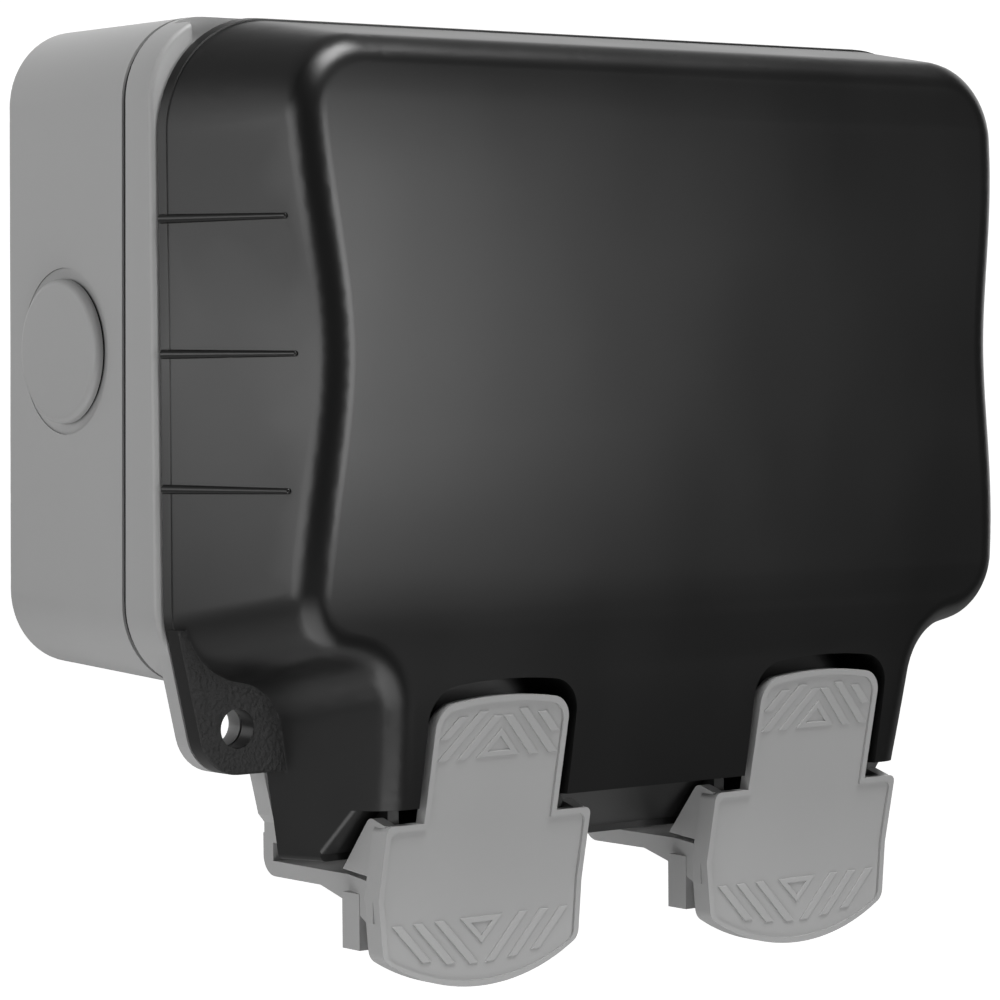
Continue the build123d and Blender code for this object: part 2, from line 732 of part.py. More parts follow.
# Back box
entry_face = box_width / 2 - entry_face_inset
with BuildPart() as back_box:
    with BuildSketch(at_depth(0)):
        RectangleRounded(box_width - 2 * box_draft, box_height - 2 * box_draft, box_corner - box_draft)
    with BuildSketch(at_depth(box_depth)):
        RectangleRounded(box_width, box_height, box_corner)
    loft(ruled=True)
    fillet(back_box.faces().sort_by(Axis.Y)[-1].edges(), box_wall / 2)
    with BuildSketch(at_depth(box_wall)):
        inner = 2 * (box_draft + box_wall)
        RectangleRounded(box_width - inner, box_height - inner, box_corner - inner / 2)
    with BuildSketch(at_depth(box_depth)):
        RectangleRounded(box_width - 2 * box_wall, box_height - 2 * box_wall, box_corner - box_wall)
    loft(ruled=True, mode=Mode.SUBTRACT)
    # Corner bosses for the frame screws, tied to the side walls by webs
    for sx in (-1, 1):
        for sz in (-1, 1):
            with BuildSketch(at_depth(box_wall / 2)):
                with Locations((sx * screw_x, sz * screw_z)):
                    Circle(screw_boss_r)
                web_end = box_width / 2 - box_draft - box_wall / 2
                with Locations((sx * (screw_x + web_end) / 2, sz * screw_z)):
                    Rectangle(web_end - screw_x, box_wall)
            extrude(amount=box_depth - box_wall / 2)
    with BuildSketch(at_depth(box_depth)):
        with GridLocations(2 * screw_x, 2 * screw_z, 2, 2):
            Circle(screw_shank_r + fit_gap)
    extrude(amount=-screw_length, mode=Mode.SUBTRACT)
    # Wall fixing holes in raised rings
    with BuildSketch(at_depth(box_wall / 2)):
        with GridLocations(fixing_pitch_x, fixing_pitch_z, 2, 2):
            Circle(fixing_boss_r)
    extrude(amount=box_wall / 2 + fixing_boss_height)
    with BuildSketch(at_depth(0)):
        with GridLocations(fixing_pitch_x, fixing_pitch_z, 2, 2):
            Circle(fixing_hole_r)
    extrude(amount=box_wall + fixing_boss_height, mode=Mode.SUBTRACT)
    # Flat-faced cable entries on both sides
    for side in (-1, 1):
        entry = Plane(origin=(side * entry_face, -entry_depth, 0), x_dir=(0, 1, 0), z_dir=(side, 0, 0))
        with BuildSketch(entry):
            Circle(entry_boss_r)
        extrude(amount=-entry_boss_inner)
        with BuildSketch(entry):
            Circle(entry_face_r)
        extrude(amount=2 * entry_face_inset, mode=Mode.SUBTRACT)
        with BuildSketch(entry):
            Circle(entry_hole_r)
        extrude(amount=-entry_boss_inner, mode=Mode.SUBTRACT)
save(back_box.part, "back_box")

# Entry plugs and their seals
for name, side in (("left", -1), ("right", 1)):
    entry = Plane(origin=(side * entry_face, -entry_depth, 0), x_dir=(0, 1, 0), z_dir=(side, 0, 0))
    with BuildPart() as entry_seal:
        with BuildSketch(entry):
            Circle(plug_head_r - seat_gap)
            Circle(entry_hole_r, mode=Mode.SUBTRACT)
        extrude(amount=plug_seal_height)
    save(entry_seal.part, f"entry_seal_{name}")
    with BuildPart() as plug:
        with BuildSketch(entry.offset(plug_seal_height)):
            Circle(plug_head_r)
        extrude(amount=plug_head_height)
        rim_edge = plug.edges().filter_by(GeomType.CIRCLE).sort_by(Axis.X)
        fillet(rim_edge[-1] if side > 0 else rim_edge[0], plug_head_round)
        with BuildSketch(entry.offset(plug_seal_height)):
            Circle(entry_hole_r - fit_gap)
            Circle(entry_hole_r - fit_gap - box_wall, mode=Mode.SUBTRACT)
        extrude(amount=-plug_barrel_length)
    save(plug.part, f"entry_plug_{name}")

# Gasket between the box and the frame
with BuildPart() as box_gasket:
    with BuildSketch(at_depth(box_depth)):
        RectangleRounded(box_width - 2 * gasket_inset, box_height - 2 * gasket_inset, box_corner - gasket_inset)
        inner = 2 * (gasket_inset + gasket_width)
        RectangleRounded(
            box_width - inner, box_height - inner, box_corner - inner / 2, mode=Mode.SUBTRACT,
        )
    extrude(amount=gasket_height)
save(box_gasket.part, "box_gasket")

# Front frame
module_boss_z = window_height / 2 + tub_wall + module_screw_head_r / 2
module_boss_r = module_screw_head_r + module_boss_wall
with BuildPart() as ahead:
    with BuildSketch(at_depth(frame_front)):
        Rectangle(2 * box_width, 4 * box_height)
    extrude(amount=face_depth)

with BuildPart() as frame_hollow:
    with BuildSketch(at_depth(frame_back)):
        RectangleRounded(box_width - 2 * frame_wall, box_height - 2 * frame_wall, box_corner - frame_wall)
    extrude(amount=frame_depth + lean_rise)
    add(lean * Pos(0, frame_plate, 0) * ahead.part, mode=Mode.SUBTRACT)

# Skirt behind the lid's chin, padlock lug and the ledges above the latch hooks; they lean with the lid
with BuildPart() as frame_skirt:
    with BuildSketch(at_depth(frame_front - skirt_thickness)):
        top = -box_height / 2 + frame_wall
        with BuildLine():
            Polyline(
                (skirt_width / 2, top), (skirt_shoulder_width / 2, skirt_shoulder_z),
                (skirt_foot_width / 2, skirt_foot_z), (skirt_foot_width / 2, catch_bottom), (0, catch_bottom),
                (0, top), close=True,
            )
        make_face()
        mirror(about=Plane.YZ)
    extrude(amount=skirt_thickness)
    with BuildSketch(at_depth(frame_front - frame_lug_thickness)):
        add(lug_outline())
    extrude(amount=frame_lug_thickness)
    ledge_rear = hook_rear_depth + hook_thickness + catch_gap_behind
    skirt_rear = frame_front - skirt_thickness
    for x in (-latch_x, latch_x):
        with BuildSketch(Plane.XY.offset(catch_bottom)):
            with Locations((x, -ledge_rear)):
                Rectangle(2 * tray_half_width, frame_front - ledge_rear, align=(Align.CENTER, Align.MAX))
        extrude(amount=catch_thickness)
        for rib_x in (x - tray_half_width + tub_wall / 2, x, x + tray_half_width - tub_wall / 2):
            with BuildSketch(side_at(rib_x)):
                Polygon(
                    (ledge_rear, catch_bottom + catch_thickness), (ledge_rear, catch_bottom + catch_thickness / 2),
                    (skirt_rear + catch_gap, catch_bottom + catch_thickness / 2),
                    (skirt_rear + catch_gap, catch_bottom + catch_thickness + skirt_rear - ledge_rear), align=None,
                )
            extrude(amount=tub_wall / 2, both=True)

# Gutter along the top, in which the lid's knuckles turn
with BuildPart() as frame_gutter:
    with BuildSketch(side_at(0)):
        with Locations((hinge_depth, hinge_z)):
            Circle(hinge_groove_r + hinge_groove_wall)
    extrude(amount=hinge_groove_half + hinge_groove_wall, both=True)
    with BuildSketch(at_depth(frame_back)):
        inside = 2 * frame_edge_r
        RectangleRounded(box_width - inside, box_height - inside, box_corner - frame_edge_r)
    extrude(amount=frame_depth, mode=Mode.INTERSECT)

with BuildPart() as frame:
    with BuildSketch(at_depth(frame_back)):
        RectangleRounded(box_width, box_height, box_corner)
    extrude(amount=frame_depth + lean_rise)
    add(frame_hollow.part, mode=Mode.SUBTRACT)
    # Window wall that reaches back to the socket plate, with the bosses of the module and frame screws
    with BuildSketch(at_depth(plate_front)):
        with Locations((0, window_z)):
            RectangleRounded(window_width + 2 * tub_wall, window_height + 2 * tub_wall, window_corner + tub_wall)
            with GridLocations(2 * module_boss_x, 2 * module_boss_z, 2, 2):
                Circle(module_boss_r)
    extrude(amount=frame_front + lean_rise - plate_front)
    with BuildSketch(at_depth(frame_back)):
        with GridLocations(2 * screw_x, 2 * screw_z, 2, 2):
            Circle(screw_boss_r)
    extrude(amount=frame_depth + lean_rise)
    add(lean * ahead.part, mode=Mode.SUBTRACT)
    fillet(frame.faces().sort_by(Axis.Y)[0].edges(), frame_edge_r)
    add(lean * frame_skirt.part)
    add(frame_gutter.part)
    # Open the window and the holes
    with BuildSketch(at_depth(plate_front)):
        with Locations((0, window_z)):
            RectangleRounded(window_width, window_height, window_corner)
    extrude(amount=face_depth, mode=Mode.SUBTRACT)
    with BuildSketch(at_depth(plate_front)):
        with Locations((0, window_z)):
            with GridLocations(2 * module_boss_x, 2 * module_boss_z, 2, 2):
                Circle(module_screw_r + fit_gap)
    extrude(amount=tub_depth, mode=Mode.SUBTRACT)
    with BuildSketch(at_depth(frame_front)):
        with GridLocations(2 * screw_x, 2 * screw_z, 2, 2):
            Circle(screw_shank_r + fit_gap)
    extrude(amount=-frame_depth, mode=Mode.SUBTRACT)
    with BuildSketch(at_depth(frame_front)):
        with GridLocations(2 * screw_x, 2 * screw_z, 2, 2):
            Circle(screw_head_r + side_gap)
    extrude(amount=-screw_head_height - seat_gap, mode=Mode.SUBTRACT)
    with BuildSketch(at_depth(frame_front)):
        with GridLocations(2 * screw_x, 2 * screw_z, 2, 2):
            Circle(screw_head_r + side_gap)
    extrude(amount=lean_rise, mode=Mode.SUBTRACT)
    with BuildSketch(at_depth(frame_back)):
        with Locations((lug_hole_x, lug_hole_z)):
            Circle(lug_hole_r)
    extrude(amount=frame_depth + lean_rise + lug_thickness, mode=Mode.SUBTRACT)
    with BuildSketch(side_at(0)):
        with Locations((hinge_depth, hinge_z)):
            Circle(hinge_groove_r)
            Rectangle(2 * hinge_groove_r, box_height, align=(Align.CENTER, Align.MIN))
    extrude(amount=hinge_groove_half, both=True, mode=Mode.SUBTRACT)
    # Frame knuckles, two beside each knuckle of the lid, carried from behind and below
    for x in [h * hinge_x + k * hinge_frame_x for h in (-1, 1) for k in (-1, 1)]:
        with BuildSketch(side_at(x)):
            with Locations((hinge_depth, hinge_z)):
                Circle(hinge_barrel_r)
                Rectangle(
                    hinge_groove_r + hinge_groove_wall / 2, hinge_barrel_r + hinge_pin_r, align=(Align.MAX, Align.MAX),
                )
                Circle(hinge_pin_r + fit_gap, mode=Mode.SUBTRACT)
        extrude(amount=hinge_frame_knuckle / 2, both=True)
save(frame.part, "frame")


def screw_group(name, places, under_head, direction, shank_r, length, head_r, head_height):
    """Pan-head screws seated at a depth; direction is 1 for heads to the front and -1 for heads to the wall."""
    with BuildPart() as screws:
        with BuildSketch(at_depth(under_head)):
            with Locations(*places):
                Circle(shank_r)
        extrude(amount=-direction * length)
        with BuildSketch(at_depth(under_head)):
            with Locations(*places):
                Circle(head_r)
        extrude(amount=direction * head_height)
        ends = screws.edges().filter_by(GeomType.CIRCLE).sort_by(Axis.Y)
        fillet(ends[:len(places)] if direction > 0 else ends[-len(places):], head_height / 3)
        with BuildSketch(at_depth(under_head + direction * head_height)):
            with Locations(*places):
                Rectangle(1.3 * head_r, head_r / 3)
                Rectangle(head_r / 3, 1.3 * head_r)
        extrude(amount=-direction * head_height / 2, mode=Mode.SUBTRACT)
    save(screws.part, name)


frame_screw_places = [(sx * screw_x, sz * screw_z) for sx in (-1, 1) for sz in (-1, 1)]
frame_screw_seat = frame_front - screw_head_height - seat_gap
screw_group(
    "frame_screws", frame_screw_places, frame_screw_seat, 1, screw_shank_r, screw_length, screw_head_r,
    screw_head_height,
)
module_screw_places = [
    (sx * module_boss_x, window_z + sz * module_boss_z) for sx in (-1, 1) for sz in (-1, 1)
]
screw_group(
    "module_screws", module_screw_places, plate_back, -1, module_screw_r, module_screw_length,
    module_screw_head_r, module_screw_head,
)

# Socket plate
bezel_half_x = rocker_x + rocker_width / 2 + side_gap + bezel_wall
bezel_half_z = rocker_length / 2 + rocker_window_gap + bezel_wall
rail_x = shutter_width / 2 + seat_gap
rail_top = live_row_z + live_slot_height / 2 + shutter_lap
spring_top = live_row_z - live_slot_height / 2 - shutter_lap
spring_seat_z = spring_top - spring_length
shutter_front = plate_back - seat_gap
spring_depth = shutter_front - spring_r - 2 * spring_wire_r
with BuildPart() as socket_plate:
    with BuildSketch(at_depth(plate_back)):
        with Locations((0, window_z)):
            RectangleRounded(window_width + 2 * plate_lap_x, window_height + 2 * plate_lap_z, window_corner)
    extrude(amount=plate_thickness)
    with BuildSketch(at_depth(plate_front)):
        with Locations((-outlet_x, 0), (outlet_x, 0)):
            RectangleRounded(pad_size, pad_size, pad_corner)
    extrude(amount=pad_height)
    with BuildSketch(at_depth(plate_back - bezel_back)):
        with Locations((0, rocker_z)):
            RectangleRounded(2 * bezel_half_x, 2 * bezel_half_z, bezel_wall)
    extrude(amount=bezel_back + plate_thickness + bezel_rise)
    # Rails and spring seats of the shutters, on the back of the plate
    for x in (-outlet_x, outlet_x):
        with BuildSketch(at_depth(plate_back)):
            for side in (-1, 1):
                with Locations((x + side * (rail_x + box_wall / 4), rail_top)):
                    Rectangle(box_wall / 2, rail_top - spring_seat_z, align=(Align.CENTER, Align.MAX))
        extrude(amount=-shutter_thickness - seat_gap)
        with BuildSketch(at_depth(plate_back)):
            with Locations((x, spring_seat_z)):
                Rectangle(4 * spring_r, box_wall / 2, align=(Align.CENTER, Align.MAX))
        extrude(amount=spring_depth - spring_r - spring_wire_r - plate_back)
    with BuildSketch(at_depth(plate_front + bezel_rise)):
        with Locations((-rocker_x, rocker_z), (rocker_x, rocker_z)):
            Rectangle(rocker_width + 2 * side_gap, rocker_length + 2 * rocker_window_gap)
    extrude(amount=-bezel_rise - plate_thickness - bezel_back, mode=Mode.SUBTRACT)
    for x in (-rocker_x, rocker_x):
        with BuildSketch(side_at(x)):
            with Locations((rocker_depth, rocker_z)):
                Circle(rocker_axle_r + fit_gap)
        extrude(amount=rocker_width / 2 + rocker_axle + fit_gap, both=True, mode=Mode.SUBTRACT)
    with BuildSketch(at_depth(plate_back)):
        with Locations((-outlet_x, 0), (outlet_x, 0)):
            with Locations((-pin_pitch / 2, live_row_z), (pin_pitch / 2, live_row_z)):
                Rectangle(live_slot_width, live_slot_height)
            with Locations((0, earth_z)):
                Rectangle(earth_slot_width, earth_slot_height)
    extrude(amount=plate_thickness + pad_height, mode=Mode.SUBTRACT)
    with BuildSketch(at_depth(plate_back)):
        with Locations(*module_screw_places):
            Circle(module_screw_r + fit_gap)
    extrude(amount=plate_thickness, mode=Mode.SUBTRACT)
save(socket_plate.part, "socket_plate")

# Rocker switches, shutters and springs
for name, side in (("left", -1), ("right", 1)):
    tilt = radians(rocker_tilt)
    pivot = Plane(
        origin=(side * rocker_x, -rocker_depth, rocker_z), x_dir=(0, -cos(tilt), sin(tilt)), z_dir=(-1, 0, 0),
    )
    with BuildPart() as rocker:
        with BuildSketch(pivot):
            Polygon(
                (rocker_rise, 0), (rocker_rise + rocker_dish, rocker_length / 2), (0, rocker_length / 2),
                (-rocker_back, rocker_length / 5), (-rocker_back, -rocker_length / 5), (0, -rocker_length / 2),
                (rocker_rise + rocker_dish, -rocker_length / 2), align=None,
            )
        extrude(amount=rocker_width / 2, both=True)
        with BuildSketch(pivot):
            Circle(rocker_axle_r)
        extrude(amount=rocker_width / 2 + rocker_axle, both=True)
    save(rocker.part, f"rocker_{name}")

    x = side * outlet_x
    shutter_back = shutter_front - shutter_thickness
    with BuildPart() as shutter:
        with BuildSketch(at_depth(shutter_back)):
            with Locations((x, live_row_z)):
                Rectangle(shutter_width, live_slot_height + 2 * shutter_lap)
        extrude(amount=shutter_thickness)
        arm_top = earth_z - earth_slot_height / 2 + shutter_travel
        with BuildSketch(side_at(x)):
            Polygon(
                (shutter_back, live_row_z), (shutter_front, live_row_z), (shutter_front, arm_top - shutter_slope),
                (shutter_back, arm_top), align=None,
            )
        extrude(amount=shutter_arm_width / 2, both=True)
    save(shutter.part, f"shutter_{name}")

    coil = spring_length - 2 * spring_wire_r - seat_gap
    foot = Plane(origin=(x, -spring_depth, spring_seat_z + spring_wire_r), z_dir=(0, 0, 1))
    with BuildPart() as spring:
        with BuildLine(foot) as path:
            Helix(pitch=coil / spring_turns, height=coil, radius=spring_r)
        with BuildSketch(Plane(origin=path.line @ 0, z_dir=path.line % 0)):
            Circle(spring_wire_r)
        sweep()
    save(spring.part, f"shutter_spring_{name}")

# Contacts: each is cut from sheet, with clips that grip the plug pins
sheet_front = contact_back + contact_sheet
clip_offset = (contact_gap + contact_sheet) / 2
neutral_z = live_row_z - 3 * bar_height + bar_height / 2
live_z = live_row_z + 2 * bar_height
earth_bar_z = earth_z + earth_slot_height / 2 + bar_height
feed_z = live_z + 2 * bar_height


def clip(x, z, upright):
    """Two leaves that stand forward from the sheet, either side of a pin."""
    width = earth_slot_height if upright else live_slot_width
    with BuildSketch(at_depth(contact_back)) as leaves:
        for side in (-1, 1):
            if upright:
                with Locations((x + side * clip_offset, z)):
                    Rectangle(contact_sheet, width)
            else:
                with Locations((x, z + side * clip_offset)):
                    Rectangle(width, contact_sheet)
    return leaves.sketch


def strip(x0, x1, z0, z1):
    """Flat run of the contact sheet between two corners."""
    with BuildSketch(at_depth(contact_back)) as run:
        with Locations(((x0 + x1) / 2, (z0 + z1) / 2)):
            Rectangle(abs(x1 - x0), abs(z1 - z0))
    return run.sketch


def post(x, z):
    with BuildSketch(at_depth(sheet_front)) as block:
        with Locations((x, z)):
            Rectangle(post_size, post_size)
    return block.sketch


post_back = cover_depth - post_reach
post_places = []


def make_bar(clips, strips, post_at=None):
    with BuildPart() as bar:
        for x, z, upright in clips:
            extrude(clip(x, z, upright), amount=contact_front - contact_back)
        for corners in strips:
            extrude(strip(*corners), amount=contact_sheet)
        if post_at:
            extrude(post(*post_at), amount=post_back - sheet_front)
            with BuildSketch(Plane.XY):
                with Locations((post_at[0], -(post_back + post_reach / 2))):
                    Circle(post_bore_r)
            extrude(amount=box_height, both=True, mode=Mode.SUBTRACT)
            with BuildSketch(at_depth(post_back)):
                with Locations(post_at):
                    Circle(terminal_screw_r + fit_gap)
            extrude(amount=post_reach / 2 - post_bore_r, mode=Mode.SUBTRACT)
            post_places.append(post_at)
    return bar.part


half_clip = live_slot_width / 2
half_bar = bar_height / 2
neutral_xs = [x - pin_pitch / 2 for x in (-outlet_x, outlet_x)]
neutral_post = (-1.5 * post_size, neutral_z)
neutral_strips = [
    (neutral_xs[0] - half_clip, neutral_xs[1] + half_clip, neutral_z - half_bar, neutral_z + half_bar),
]
neutral_strips += [
    (x - half_clip, x + half_clip, neutral_z, live_row_z + clip_offset + contact_sheet / 2) for x in neutral_xs
]
neutral_clips = [(x, live_row_z, False) for x in neutral_xs]
save(make_bar(neutral_clips, neutral_strips, neutral_post), "neutral_bar")

earth_half = clip_offset + contact_sheet / 2
earth_strips = [
    (-outlet_x - earth_half, outlet_x + earth_half, earth_bar_z - half_bar, earth_bar_z + half_bar),
]
earth_strips += [
    (x - earth_half, x + earth_half, earth_z - earth_slot_height / 2, earth_bar_z) for x in (-outlet_x, outlet_x)
]
earth_clips = [(x, earth_z, True) for x in (-outlet_x, outlet_x)]
save(make_bar(earth_clips, earth_strips, (0, earth_bar_z)), "earth_bar")

feed_half = rocker_x + half_bar
save(make_bar([], [(-feed_half, feed_half, feed_z - half_bar, feed_z + half_bar)], (0, feed_z)), "live_bar")

for name, side in (("left", -1), ("right", 1)):
    live_x = side * outlet_x + pin_pitch / 2
    inner_x = side * (feed_half + half_bar)
    live_strips = [
        (live_x - half_clip, live_x + half_clip, live_row_z - earth_half, live_z + half_bar),
        (live_x, inner_x, live_z - half_bar, live_z + half_bar),
    ]
    save(make_bar([(live_x, live_row_z, False)], live_strips), f"live_contact_{name}")
    # Leaf that the rocker presses, standing on the live bar
    with BuildPart() as leaf:
        with BuildSketch(side_at(side * rocker_x)):
            with Locations((sheet_front, feed_z)):
                Rectangle(contact_front - sheet_front, contact_sheet, align=(Align.MIN, Align.CENTER))
            with Locations((contact_front, feed_z + contact_sheet / 2)):
                Rectangle(contact_sheet, 2 * bar_height, align=(Align.MAX, Align.MAX))
        extrude(amount=half_bar / 2, both=True)
    save(leaf.part, f"switch_leaf_{name}")

screw_group(
    "terminal_screws", post_places, post_back, -1, terminal_screw_r, post_reach / 2 - post_bore_r,
    terminal_screw_head_r, module_screw_head,
)

# Mechanism cover, open to the plate, with openings for the terminal posts
cover_z = (earth_bar_z + neutral_z) / 2
with BuildPart() as mechanism_cover:
    with BuildSketch(at_depth(cover_depth)):
        with Locations((0, cover_z)):
            RectangleRounded(cover_width, cover_height, cover_corner)
    extrude(amount=plate_back - cover_depth)
    fillet(mechanism_cover.faces().sort_by(Axis.Y)[-1].edges(), cover_wall / 2)
    with BuildSketch(at_depth(cover_depth + cover_wall)):
        with Locations((0, cover_z)):
            RectangleRounded(cover_width - 2 * cover_wall, cover_height - 2 * cover_wall, cover_corner - cover_wall)
    extrude(amount=plate_back - cover_depth - cover_wall, mode=Mode.SUBTRACT)
    with BuildSketch(at_depth(cover_depth)):
        with Locations(*post_places):
            Rectangle(post_size + side_gap, post_size + side_gap)
    extrude(amount=cover_wall, mode=Mode.SUBTRACT)
    # Ribs that carry the contact sheets
    live_rib_x = outlet_x - pin_pitch
    for rib_x, rib_z in ((outlet_x, neutral_z), (live_rib_x, live_z), (outlet_x, earth_bar_z)):
        with BuildSketch(at_depth(cover_depth + cover_wall)):
            with Locations((-rib_x, rib_z), (rib_x, rib_z)):
                Rectangle(pin_pitch / 2, cover_wall)
        extrude(amount=contact_back - cover_depth - cover_wall)
save(mechanism_cover.part, "mechanism_cover")
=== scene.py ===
"""Looks of the outdoor weatherproof socket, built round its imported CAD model.

Metres, +Z up. The wall is the plane y = 0 and the front looks along -Y.
"""

import json
import math

import bpy
from mathutils import Matrix, Vector

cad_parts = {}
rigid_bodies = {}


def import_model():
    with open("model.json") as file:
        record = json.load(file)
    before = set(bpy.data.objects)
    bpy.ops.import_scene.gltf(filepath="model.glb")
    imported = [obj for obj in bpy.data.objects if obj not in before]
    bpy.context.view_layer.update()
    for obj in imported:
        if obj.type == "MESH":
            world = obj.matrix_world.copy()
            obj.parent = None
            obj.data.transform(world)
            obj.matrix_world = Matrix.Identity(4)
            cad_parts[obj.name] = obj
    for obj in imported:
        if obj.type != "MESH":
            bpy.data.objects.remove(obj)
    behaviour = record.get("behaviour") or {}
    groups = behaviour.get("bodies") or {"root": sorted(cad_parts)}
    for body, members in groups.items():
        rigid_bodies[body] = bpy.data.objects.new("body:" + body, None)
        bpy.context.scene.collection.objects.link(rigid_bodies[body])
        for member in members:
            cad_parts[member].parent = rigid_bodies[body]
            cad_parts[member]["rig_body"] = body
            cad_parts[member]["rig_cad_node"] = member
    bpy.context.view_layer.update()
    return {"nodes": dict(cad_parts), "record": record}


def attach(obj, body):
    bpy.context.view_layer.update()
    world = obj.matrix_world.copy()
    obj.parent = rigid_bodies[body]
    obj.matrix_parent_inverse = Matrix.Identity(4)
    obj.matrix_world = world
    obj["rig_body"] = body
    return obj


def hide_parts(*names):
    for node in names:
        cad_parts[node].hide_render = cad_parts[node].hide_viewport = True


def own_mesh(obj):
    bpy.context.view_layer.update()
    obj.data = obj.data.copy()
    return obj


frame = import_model()
nodes = frame["nodes"]
bodies = frame["record"]["behaviour"]["bodies"]
body_of_node = {node: body for body, members in bodies.items() for node in members}
slot_of_node = {part["node"]: part["material_slot"] for part in frame["record"]["subparts"]}
scene = bpy.context.scene
scene.view_settings.view_transform = "Standard"


def select_only(piece):
    bpy.ops.object.select_all(action="DESELECT")
    piece.select_set(True)
    bpy.context.view_layer.objects.active = piece


def edit(piece):
    """Goes into edit mode on one piece, with everything in it selected."""
    select_only(piece)
    bpy.ops.object.mode_set(mode="EDIT")
    bpy.ops.mesh.select_all(action="SELECT")


def leave_edit():
    bpy.ops.object.mode_set(mode="OBJECT")


# Finishes

FLOW_MARK_MM = 28.0
FLOW_STRETCH = (1, 1, 0.6)
FLOW_DEPTH_MM = 0.02
NOISE_LOW, NOISE_HIGH = 0.3, 0.7


def new_finish(name):
    """Empty material with a Principled shader, and the object coordinates that its patterns read."""
    finish = bpy.data.materials.new(name)
    finish.use_nodes = True
    shader = finish.node_tree.nodes["Principled BSDF"]
    place = finish.node_tree.nodes.new("ShaderNodeTexCoord")
    return finish, shader, place.outputs["Object"]


def pattern(finish, place, size_mm, detail=2.0, roughness=0.5, stretch=(1, 1, 1)):
    """Noise whose grains are about size_mm across."""
    tree = finish.node_tree
    mapping = tree.nodes.new("ShaderNodeMapping")
    mapping.inputs["Scale"].default_value = stretch
    noise = tree.nodes.new("ShaderNodeTexNoise")
    noise.inputs["Scale"].default_value = 1000 / size_mm
    noise.inputs["Detail"].default_value = detail
    noise.inputs["Roughness"].default_value = roughness
    tree.links.new(place, mapping.inputs["Vector"])
    tree.links.new(mapping.outputs["Vector"], noise.inputs["Vector"])
    return noise.outputs["Fac"]


def spread(finish, value, low, high):
    """Takes a noise value to the range from low to high."""
    node = finish.node_tree.nodes.new("ShaderNodeMapRange")
    node.inputs["From Min"].default_value = NOISE_LOW
    node.inputs["From Max"].default_value = NOISE_HIGH
    node.inputs["To Min"].default_value = low
    node.inputs["To Max"].default_value = high
    finish.node_tree.links.new(value, node.inputs["Value"])
    return node.outputs["Result"]


def relief(finish, shader, heights):
    """Bump from several (value, depth in millimetres) pairs, one on the other."""
    tree = finish.node_tree
    below = None
    for value, depth_mm in heights:
        bump = tree.nodes.new("ShaderNodeBump")
        bump.inputs["Strength"].default_value = 1.0
        bump.inputs["Distance"].default_value = depth_mm / 1000
        tree.links.new(value, bump.inputs["Height"])
        if below:
            tree.links.new(below, bump.inputs["Normal"])
        below = bump.outputs["Normal"]
    tree.links.new(below, shader.inputs["Normal"])


def tint(finish, shader, value, colour, change):
    """Base colour that drifts a little, by a share, over the surface."""
    tree = finish.node_tree
    mixer = tree.nodes.new("ShaderNodeMix")
    mixer.data_type = "RGBA"
    mixer.inputs["A"].default_value = (*[c * (1 - change) for c in colour], 1)
    mixer.inputs["B"].default_value = (*[min(1, c * (1 + change)) for c in colour], 1)
    tree.links.new(value, mixer.inputs["Factor"])
    tree.links.new(mixer.outputs["Result"], shader.inputs["Base Color"])


def flow_marks(finish, place):
    """Slow marks that the plastic leaves as it fills the mould."""
    return pattern(finish, place, FLOW_MARK_MM, stretch=FLOW_STRETCH)


def moulding(name, colour, roughness, grain_mm, grain_depth_mm):
    """Moulded plastic with a fine spark-eroded grain and slow flow marks."""
    finish, shader, place = new_finish(name)
    grain = pattern(finish, place, grain_mm, 3.0, 0.6)
    flow = flow_marks(finish, place)
    tint(finish, shader, flow, colour, 0.04)
    gloss = spread(finish, flow, roughness - 0.02, roughness + 0.02)
    finish.node_tree.links.new(gloss, shader.inputs["Roughness"])
    relief(finish, shader, [(flow, FLOW_DEPTH_MM), (grain, grain_depth_mm)])
    return finish


# The padlock lug's flat front: the way it faces, how far ahead it is, and its reach on the lid, in metres

LUG_FACES = (0, -0.99976, 0.02182)
LUG_AHEAD = 0.059513
LUG_AHEAD_SLACK = 0.0003
LUG_REACH = (
    ("X", "LESS_THAN", -0.0665),
    ("Z", "LESS_THAN", -0.0517),
    ("Z", "GREATER_THAN", -0.0803),
)


def lug_front(finish, place):
    """One on the flat front of the padlock lug, and nothing elsewhere on the lid."""
    tree = finish.node_tree
    parts = tree.nodes.new("ShaderNodeSeparateXYZ")
    tree.links.new(place, parts.inputs["Vector"])
    ahead = tree.nodes.new("ShaderNodeVectorMath")
    ahead.operation = "DOT_PRODUCT"
    ahead.inputs[1].default_value = LUG_FACES
    tree.links.new(place, ahead.inputs[0])
    level = tree.nodes.new("ShaderNodeMath")
    level.operation = "COMPARE"
    level.inputs[1].default_value = LUG_AHEAD
    level.inputs[2].default_value = LUG_AHEAD_SLACK
    tree.links.new(ahead.outputs["Value"], level.inputs[0])
    inside = level.outputs["Value"]
    for axis, test, limit in LUG_REACH:
        within = tree.nodes.new("ShaderNodeMath")
        within.operation = test
        within.inputs[1].default_value = limit
        tree.links.new(parts.outputs[axis], within.inputs[0])
        both = tree.nodes.new("ShaderNodeMath")
        both.operation = "MULTIPLY"
        tree.links.new(inside, both.inputs[0])
        tree.links.new(within.outputs["Value"], both.inputs[1])
        inside = both.outputs["Value"]
    return inside


LID_BLACK = (0.005, 0.005, 0.005)
LUG_GRAIN_MM = 0.9
LUG_GRAIN_DEPTH_MM = 0.35
LUG_ROUGHNESS = 0.60


